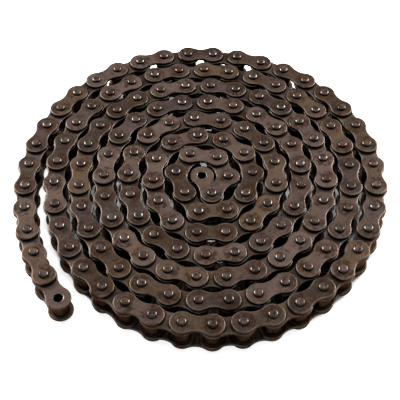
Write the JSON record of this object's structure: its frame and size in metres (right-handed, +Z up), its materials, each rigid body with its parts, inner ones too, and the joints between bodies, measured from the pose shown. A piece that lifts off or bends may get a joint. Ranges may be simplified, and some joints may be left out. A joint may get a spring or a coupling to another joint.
{
  "type": "roller chain",
  "caption": "Motorcycle drive chain coiled flat on its side, with loose outer links that hinge on their pins, spinning rollers and open end bushes.",
  "frame": {"origin": "middle of the coil's footprint, on the surface it lies on", "axes": "+Z up along every pin, +X to the right and +Y away from the camera as the coil is seen in the picture"},
  "size_m": [0.2146, 0.2138, 0.0201],
  "materials": {
    "plate": "dark oiled steel, worn bright at the rims",
    "bush": "oiled steel",
    "roller": "dark oiled steel",
    "pin": "polished steel with an oil film",
    "whole_links": "dark oiled steel"
  },
  "bodies": {
    "coil": {"coil_links_013_to_022": "whole_links", "coil_links_023_to_032": "whole_links", "coil_links_033_to_042": "whole_links", "coil_links_043_to_052": "whole_links", "coil_links_053_to_062": "whole_links", "coil_links_063_to_072": "whole_links", "coil_links_073_to_082": "whole_links", "coil_links_083_to_092": "whole_links", "coil_links_093_to_102": "whole_links", "coil_links_103_to_112": "whole_links", "coil_links_113_to_122": "whole_links", "coil_links_123_to_132": "whole_links", "coil_links_133_to_142": "whole_links", "coil_links_143_to_152": "whole_links", "link_153": "whole_links", "link_154": "whole_links", "link_155": "whole_links", "link_156": "whole_links", "link_157": "whole_links"},
    "swing_link_001": {"link_001_bush_a": "bush", "link_001_bush_b": "bush", "link_001_plate_bottom": "plate", "link_001_plate_top": "plate"},
    "swing_link_002": {"link_002_pin_a": "pin", "link_002_pin_b": "pin", "link_002_plate_bottom": "plate", "link_002_plate_top": "plate"},
    "swing_link_003": {"link_003_bush_a": "bush", "link_003_bush_b": "bush", "link_003_plate_bottom": "plate", "link_003_plate_top": "plate"},
    "swing_link_004": {"link_004_pin_a": "pin", "link_004_pin_b": "pin", "link_004_plate_bottom": "plate", "link_004_plate_top": "plate"},
    "swing_link_005": {"link_005_bush_a": "bush", "link_005_bush_b": "bush", "link_005_plate_bottom": "plate", "link_005_plate_top": "plate"},
    "swing_link_006": {"link_006_pin_a": "pin", "link_006_pin_b": "pin", "link_006_plate_bottom": "plate", "link_006_plate_top": "plate"},
    "swing_link_007": {"link_007": "whole_links"},
    "swing_link_008": {"link_008": "whole_links"},
    "swing_link_009": {"link_009": "whole_links"},
    "swing_link_010": {"link_010": "whole_links"},
    "swing_link_011": {"link_011": "whole_links"},
    "swing_link_012": {"link_012": "whole_links"},
    "roller_001_a": {"link_001_roller_a": "roller"},
    "roller_001_b": {"link_001_roller_b": "roller"},
    "roller_003_a": {"link_003_roller_a": "roller"},
    "roller_003_b": {"link_003_roller_b": "roller"},
    "roller_005_a": {"link_005_roller_a": "roller"},
    "roller_005_b": {"link_005_roller_b": "roller"},
    "inner_end_outer_link": {"link_158": "whole_links"},
    "inner_end_last_link": {"link_159": "whole_links", "link_159_end_bush": "bush"}
  },
  "joints": [
    {"name": "swing_at_pin_012", "type": "hinge", "parent": "coil", "child": "swing_link_012", "pos_m": [-0.05303, 0.08575, 0.01006], "axis": [0, 0, -1], "range_deg": [0, 30]},
    {"name": "swing_at_pin_011", "type": "hinge", "parent": "swing_link_012", "child": "swing_link_011", "pos_m": [-0.0658, 0.07631, 0.01006], "axis": [0, 0, -1], "range_deg": [0, 30]},
    {"name": "swing_at_pin_010", "type": "hinge", "parent": "swing_link_011", "child": "swing_link_010", "pos_m": [-0.07684, 0.06491, 0.01006], "axis": [0, 0, -1], "range_deg": [0, 30]},
    {"name": "swing_at_pin_009", "type": "hinge", "parent": "swing_link_010", "child": "swing_link_009", "pos_m": [-0.08589, 0.05186, 0.01006], "axis": [0, 0, -1], "range_deg": [0, 30]},
    {"name": "swing_at_pin_008", "type": "hinge", "parent": "swing_link_009", "child": "swing_link_008", "pos_m": [-0.09279, 0.03757, 0.01006], "axis": [0, 0, -1], "range_deg": [0, 30]},
    {"name": "swing_at_pin_007", "type": "hinge", "parent": "swing_link_008", "child": "swing_link_007", "pos_m": [-0.09748, 0.0224, 0.01006], "axis": [0, 0, -1], "range_deg": [0, 30]},
    {"name": "swing_at_pin_006", "type": "hinge", "parent": "swing_link_007", "child": "swing_link_006", "pos_m": [-0.09999, 0.00673, 0.01006], "axis": [0, 0, -1], "range_deg": [0, 30]},
    {"name": "swing_at_pin_005", "type": "hinge", "parent": "swing_link_006", "child": "swing_link_005", "pos_m": [-0.10042, -0.00914, 0.01006], "axis": [0, 0, -1], "range_deg": [0, 35]},
    {"name": "swing_at_pin_004", "type": "hinge", "parent": "swing_link_005", "child": "swing_link_004", "pos_m": [-0.09886, -0.02494, 0.01006], "axis": [0, 0, -1], "range_deg": [-1, 40]},
    {"name": "swing_at_pin_003", "type": "hinge", "parent": "swing_link_004", "child": "swing_link_003", "pos_m": [-0.09542, -0.04044, 0.01006], "axis": [0, 0, -1], "range_deg": [-2, 45]},
    {"name": "swing_at_pin_002", "type": "hinge", "parent": "swing_link_003", "child": "swing_link_002", "pos_m": [-0.09018, -0.05543, 0.01006], "axis": [0, 0, -1], "range_deg": [-3, 60]},
    {"name": "swing_at_pin_001", "type": "hinge", "parent": "swing_link_002", "child": "swing_link_001", "pos_m": [-0.0832, -0.06968, 0.01006], "axis": [0, 0, -1], "range_deg": [-8, 120]},
    {"name": "roller_001_a_spin", "type": "hinge", "parent": "swing_link_001", "child": "roller_001_a", "pos_m": [-0.07454, -0.08299, 0.01006], "axis": [0, 0, 1], "continuous": true},
    {"name": "roller_001_b_spin", "type": "hinge", "parent": "swing_link_001", "child": "roller_001_b", "pos_m": [-0.0832, -0.06968, 0.01006], "axis": [0, 0, 1], "continuous": true},
    {"name": "roller_003_a_spin", "type": "hinge", "parent": "swing_link_003", "child": "roller_003_a", "pos_m": [-0.09018, -0.05543, 0.01006], "axis": [0, 0, 1], "continuous": true},
    {"name": "roller_003_b_spin", "type": "hinge", "parent": "swing_link_003", "child": "roller_003_b", "pos_m": [-0.09542, -0.04044, 0.01006], "axis": [0, 0, 1], "continuous": true},
    {"name": "roller_005_a_spin", "type": "hinge", "parent": "swing_link_005", "child": "roller_005_a", "pos_m": [-0.09886, -0.02494, 0.01006], "axis": [0, 0, 1], "continuous": true},
    {"name": "roller_005_b_spin", "type": "hinge", "parent": "swing_link_005", "child": "roller_005_b", "pos_m": [-0.10042, -0.00914, 0.01006], "axis": [0, 0, 1], "continuous": true},
    {"name": "swing_at_pin_157", "type": "hinge", "parent": "coil", "child": "inner_end_outer_link", "pos_m": [0.01583, -0.00235, 0.01006], "axis": [0, 0, -1], "range_deg": [-1, 4]},
    {"name": "swing_at_pin_158", "type": "hinge", "parent": "inner_end_outer_link", "child": "inner_end_last_link", "pos_m": [0.00618, -0.01496, 0.01006], "axis": [0, 0, 1], "range_deg": [-1, 3]}
  ]
}
